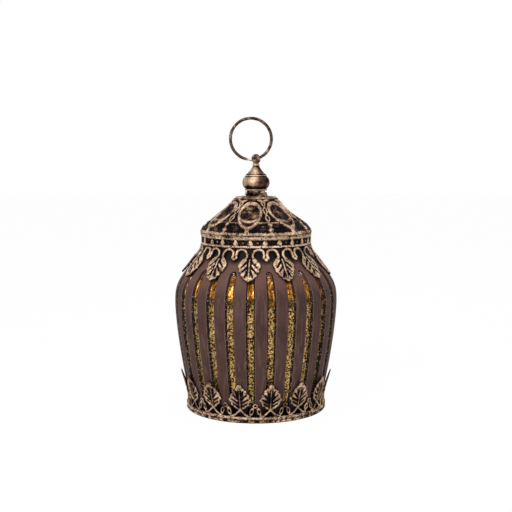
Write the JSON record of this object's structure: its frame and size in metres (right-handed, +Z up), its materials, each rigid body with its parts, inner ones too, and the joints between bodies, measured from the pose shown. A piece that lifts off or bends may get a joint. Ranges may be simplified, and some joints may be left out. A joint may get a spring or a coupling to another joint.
{
  "type": "metal led lantern",
  "caption": "Fluted glass table lantern with stamped metal leaf collars and a lift-off domed lid that carries a battery LED lamp, a turned finial and a hanging ring.",
  "frame": {"origin": "centre of the face that the lantern stands on", "axes": "+Z up along the lantern's axis, -Y to the front as pictured, +X to the viewer's right"},
  "size_m": [0.1189, 0.1192, 0.2126],
  "materials": {
    "antique_bronze": "aged copper-bronze plating, dark patina in the recesses",
    "ring_wire": "drawn wire with the same aged bronze plating",
    "fluted_glass": "moulded, matte brown ribs and mirrored old-gold flutes",
    "zinc_steel": "zinc plated",
    "cell_steel": "nickel plated",
    "black_plastic": "moulded, fine texture",
    "slider_plastic": "moulded",
    "silicone": "matte silicone",
    "circuit_board": "solder mask",
    "chip_resin": "moulded epoxy",
    "brass": "rolled sheet, bright",
    "clear_glass": "blown, clear",
    "led_phosphor": "soft yellow coating",
    "red_insulation": "smooth",
    "black_insulation": "smooth"
  },
  "bodies": {
    "jar": {"base_rim": "antique_bronze", "base_leaf_collar": "antique_bronze", "glass_jar": "fluted_glass", "neck_gallery": "antique_bronze", "top_leaf_collar": "antique_bronze"},
    "lid": {"lid_shell": "antique_bronze", "lid_hoop": "antique_bronze", "top_plate": "antique_bronze", "finial_foot": "antique_bronze", "binding_wire": "antique_bronze", "finial_ring": "antique_bronze", "finial_onion": "antique_bronze", "ring_eye_stud": "antique_bronze", "spacer_tube": "zinc_steel", "stud_washer": "zinc_steel", "stud_nut": "zinc_steel", "battery_housing": "black_plastic", "housing_cover": "black_plastic", "neck_gasket": "silicone", "cover_screw_1": "zinc_steel", "cover_screw_2": "zinc_steel", "cover_screw_3": "zinc_steel", "cover_screw_4": "zinc_steel", "coin_cell_1": "cell_steel", "coin_cell_2": "cell_steel", "spring_contact": "cell_steel", "side_contact": "cell_steel", "circuit_board": "circuit_board", "timer_chip": "chip_resin", "switch_body": "zinc_steel", "lamp_socket": "black_plastic", "lamp_cap": "brass", "lamp_bulb": "clear_glass", "lamp_stem": "clear_glass", "filament_1": "led_phosphor", "filament_2": "led_phosphor", "filament_3": "led_phosphor", "filament_4": "led_phosphor", "lead_positive": "red_insulation", "lead_negative": "black_insulation"},
    "hanging_ring": {"hanging_ring": "ring_wire"},
    "battery_door": {"battery_door": "black_plastic"},
    "switch_slider": {"switch_slider": "slider_plastic"}
  },
  "joints": [
    {"name": "lid_lift", "type": "slide", "parent": "jar", "child": "lid", "axis": [0, 0, 1], "range_m": [0, 0.085]},
    {"name": "ring_swing", "type": "hinge", "parent": "lid", "child": "hanging_ring", "pos_m": [0, 0, 0.1823], "axis": [0.969, 0, 0.247], "range_deg": [-150, 150]},
    {"name": "battery_door_turn", "type": "hinge", "parent": "lid", "child": "battery_door", "pos_m": [-0.0195, 0, 0.111], "axis": [0, 0, 1], "range_deg": [0, 45]},
    {"name": "switch_slide", "type": "slide", "parent": "lid", "child": "switch_slider", "axis": [0, 1, 0], "range_m": [0, 0.004]}
  ]
}
